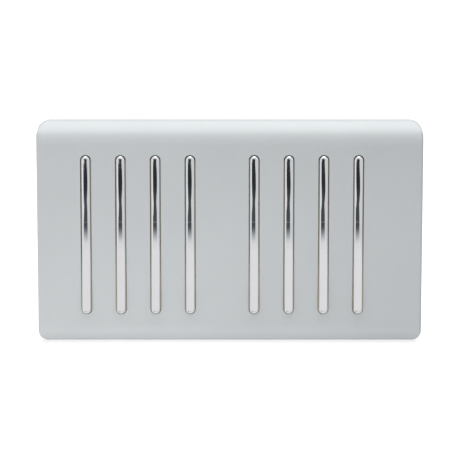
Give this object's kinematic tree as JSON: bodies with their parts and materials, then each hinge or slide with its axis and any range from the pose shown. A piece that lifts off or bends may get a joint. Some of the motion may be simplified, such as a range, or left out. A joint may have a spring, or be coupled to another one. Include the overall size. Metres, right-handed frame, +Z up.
{
  "type": "light switch",
  "caption": "Satin silver double wall plate with two banks of slim chrome rocker bars, each tilting in its own slot to work a changeover switch behind.",
  "frame": {"origin": "on the wall plane, midway between the two fixing holes", "axes": "X along the plate to the right as seen from the front, Y into the wall, Z up; the front faces -Y"},
  "size_m": [0.146, 0.032, 0.086],
  "materials": {
    "satin_silver": "satin metallic silver",
    "frame_plastic": "moulded light grey",
    "bar_chrome": "mirror chrome",
    "dolly_plastic": "moulded warm grey",
    "plunger_nylon": "natural nylon",
    "spring_steel": "bright spring strip",
    "blade_copper": "rolled copper alloy",
    "module_plastic": "moulded white",
    "terminal_brass": "bright brass"
  },
  "bodies": {
    "switch_base": {"front_plate": "satin_silver", "support_frame": "frame_plastic", "module_housing_1": "module_plastic", "module_housing_2": "module_plastic", "module_housing_3": "module_plastic", "module_housing_4": "module_plastic", "module_housing_5": "module_plastic", "module_housing_6": "module_plastic", "module_housing_7": "module_plastic", "module_housing_8": "module_plastic", "common_terminals": "terminal_brass", "upper_terminals": "terminal_brass", "lower_terminals": "terminal_brass"},
    "rocker_1": {"rocker_bar_1": "bar_chrome", "rocker_dolly_1": "dolly_plastic", "plunger_spring_1": "spring_steel"},
    "pusher_1": {"plunger_1": "plunger_nylon"},
    "blade_1": {"contact_blade_1": "blade_copper"},
    "rocker_2": {"rocker_bar_2": "bar_chrome", "rocker_dolly_2": "dolly_plastic", "plunger_spring_2": "spring_steel"},
    "pusher_2": {"plunger_2": "plunger_nylon"},
    "blade_2": {"contact_blade_2": "blade_copper"},
    "rocker_3": {"rocker_bar_3": "bar_chrome", "rocker_dolly_3": "dolly_plastic", "plunger_spring_3": "spring_steel"},
    "pusher_3": {"plunger_3": "plunger_nylon"},
    "blade_3": {"contact_blade_3": "blade_copper"},
    "rocker_4": {"rocker_bar_4": "bar_chrome", "rocker_dolly_4": "dolly_plastic", "plunger_spring_4": "spring_steel"},
    "pusher_4": {"plunger_4": "plunger_nylon"},
    "blade_4": {"contact_blade_4": "blade_copper"},
    "rocker_5": {"rocker_bar_5": "bar_chrome", "rocker_dolly_5": "dolly_plastic", "plunger_spring_5": "spring_steel"},
    "pusher_5": {"plunger_5": "plunger_nylon"},
    "blade_5": {"contact_blade_5": "blade_copper"},
    "rocker_6": {"rocker_bar_6": "bar_chrome", "rocker_dolly_6": "dolly_plastic", "plunger_spring_6": "spring_steel"},
    "pusher_6": {"plunger_6": "plunger_nylon"},
    "blade_6": {"contact_blade_6": "blade_copper"},
    "rocker_7": {"rocker_bar_7": "bar_chrome", "rocker_dolly_7": "dolly_plastic", "plunger_spring_7": "spring_steel"},
    "pusher_7": {"plunger_7": "plunger_nylon"},
    "blade_7": {"contact_blade_7": "blade_copper"},
    "rocker_8": {"rocker_bar_8": "bar_chrome", "rocker_dolly_8": "dolly_plastic", "plunger_spring_8": "spring_steel"},
    "pusher_8": {"plunger_8": "plunger_nylon"},
    "blade_8": {"contact_blade_8": "blade_copper"}
  },
  "joints": [
    {"name": "rocker_1_tilt", "type": "hinge", "parent": "switch_base", "child": "rocker_1", "pos_m": [-0.05158, -0.0046, 0], "axis": [1, 0, 0], "range_deg": [0, 6]},
    {"name": "plunger_1_slide", "type": "slide", "parent": "rocker_1", "child": "pusher_1", "axis": [0, 0.9986, -0.0523], "range_m": [-0.0008, 0], "stiffness_N_per_m": 300, "springref_m": 0.002, "deforming": ["plunger_spring_1"]},
    {"name": "blade_1_rock", "type": "hinge", "parent": "switch_base", "child": "blade_1", "pos_m": [-0.05158, 0.00867, 0], "axis": [1, 0, 0], "range_deg": [-12, 0]},
    {"name": "rocker_2_tilt", "type": "hinge", "parent": "switch_base", "child": "rocker_2", "pos_m": [-0.03843, -0.0046, 0], "axis": [1, 0, 0], "range_deg": [0, 6]},
    {"name": "plunger_2_slide", "type": "slide", "parent": "rocker_2", "child": "pusher_2", "axis": [0, 0.9986, -0.0523], "range_m": [-0.0008, 0], "stiffness_N_per_m": 300, "springref_m": 0.002, "deforming": ["plunger_spring_2"]},
    {"name": "blade_2_rock", "type": "hinge", "parent": "switch_base", "child": "blade_2", "pos_m": [-0.03843, 0.00867, 0], "axis": [1, 0, 0], "range_deg": [-12, 0]},
    {"name": "rocker_3_tilt", "type": "hinge", "parent": "switch_base", "child": "rocker_3", "pos_m": [-0.02527, -0.0046, 0], "axis": [1, 0, 0], "range_deg": [0, 6]},
    {"name": "plunger_3_slide", "type": "slide", "parent": "rocker_3", "child": "pusher_3", "axis": [0, 0.9986, -0.0523], "range_m": [-0.0008, 0], "stiffness_N_per_m": 300, "springref_m": 0.002, "deforming": ["plunger_spring_3"]},
    {"name": "blade_3_rock", "type": "hinge", "parent": "switch_base", "child": "blade_3", "pos_m": [-0.02527, 0.00867, 0], "axis": [1, 0, 0], "range_deg": [-12, 0]},
    {"name": "rocker_4_tilt", "type": "hinge", "parent": "switch_base", "child": "rocker_4", "pos_m": [-0.01213, -0.0046, 0], "axis": [1, 0, 0], "range_deg": [0, 6]},
    {"name": "plunger_4_slide", "type": "slide", "parent": "rocker_4", "child": "pusher_4", "axis": [0, 0.9986, -0.0523], "range_m": [-0.0008, 0], "stiffness_N_per_m": 300, "springref_m": 0.002, "deforming": ["plunger_spring_4"]},
    {"name": "blade_4_rock", "type": "hinge", "parent": "switch_base", "child": "blade_4", "pos_m": [-0.01213, 0.00867, 0], "axis": [1, 0, 0], "range_deg": [-12, 0]},
    {"name": "rocker_5_tilt", "type": "hinge", "parent": "switch_base", "child": "rocker_5", "pos_m": [0.01213, -0.0046, 0], "axis": [1, 0, 0], "range_deg": [0, 6]},
    {"name": "plunger_5_slide", "type": "slide", "parent": "rocker_5", "child": "pusher_5", "axis": [0, 0.9986, -0.0523], "range_m": [-0.0008, 0], "stiffness_N_per_m": 300, "springref_m": 0.002, "deforming": ["plunger_spring_5"]},
    {"name": "blade_5_rock", "type": "hinge", "parent": "switch_base", "child": "blade_5", "pos_m": [0.01213, 0.00867, 0], "axis": [1, 0, 0], "range_deg": [-12, 0]},
    {"name": "rocker_6_tilt", "type": "hinge", "parent": "switch_base", "child": "rocker_6", "pos_m": [0.02527, -0.0046, 0], "axis": [1, 0, 0], "range_deg": [0, 6]},
    {"name": "plunger_6_slide", "type": "slide", "parent": "rocker_6", "child": "pusher_6", "axis": [0, 0.9986, -0.0523], "range_m": [-0.0008, 0], "stiffness_N_per_m": 300, "springref_m": 0.002, "deforming": ["plunger_spring_6"]},
    {"name": "blade_6_rock", "type": "hinge", "parent": "switch_base", "child": "blade_6", "pos_m": [0.02527, 0.00867, 0], "axis": [1, 0, 0], "range_deg": [-12, 0]},
    {"name": "rocker_7_tilt", "type": "hinge", "parent": "switch_base", "child": "rocker_7", "pos_m": [0.03843, -0.0046, 0], "axis": [1, 0, 0], "range_deg": [0, 6]},
    {"name": "plunger_7_slide", "type": "slide", "parent": "rocker_7", "child": "pusher_7", "axis": [0, 0.9986, -0.0523], "range_m": [-0.0008, 0], "stiffness_N_per_m": 300, "springref_m": 0.002, "deforming": ["plunger_spring_7"]},
    {"name": "blade_7_rock", "type": "hinge", "parent": "switch_base", "child": "blade_7", "pos_m": [0.03843, 0.00867, 0], "axis": [1, 0, 0], "range_deg": [-12, 0]},
    {"name": "rocker_8_tilt", "type": "hinge", "parent": "switch_base", "child": "rocker_8", "pos_m": [0.05158, -0.0046, 0], "axis": [1, 0, 0], "range_deg": [0, 6]},
    {"name": "plunger_8_slide", "type": "slide", "parent": "rocker_8", "child": "pusher_8", "axis": [0, 0.9986, -0.0523], "range_m": [-0.0008, 0], "stiffness_N_per_m": 300, "springref_m": 0.002, "deforming": ["plunger_spring_8"]},
    {"name": "blade_8_rock", "type": "hinge", "parent": "switch_base", "child": "blade_8", "pos_m": [0.05158, 0.00867, 0], "axis": [1, 0, 0], "range_deg": [-12, 0]}
  ],
  "couplings": [
    {"joint": "blade_1_rock", "follows": "rocker_1_tilt", "ratio": -2},
    {"joint": "blade_2_rock", "follows": "rocker_2_tilt", "ratio": -2},
    {"joint": "blade_3_rock", "follows": "rocker_3_tilt", "ratio": -2},
    {"joint": "blade_4_rock", "follows": "rocker_4_tilt", "ratio": -2},
    {"joint": "blade_5_rock", "follows": "rocker_5_tilt", "ratio": -2},
    {"joint": "blade_6_rock", "follows": "rocker_6_tilt", "ratio": -2},
    {"joint": "blade_7_rock", "follows": "rocker_7_tilt", "ratio": -2},
    {"joint": "blade_8_rock", "follows": "rocker_8_tilt", "ratio": -2}
  ]
}
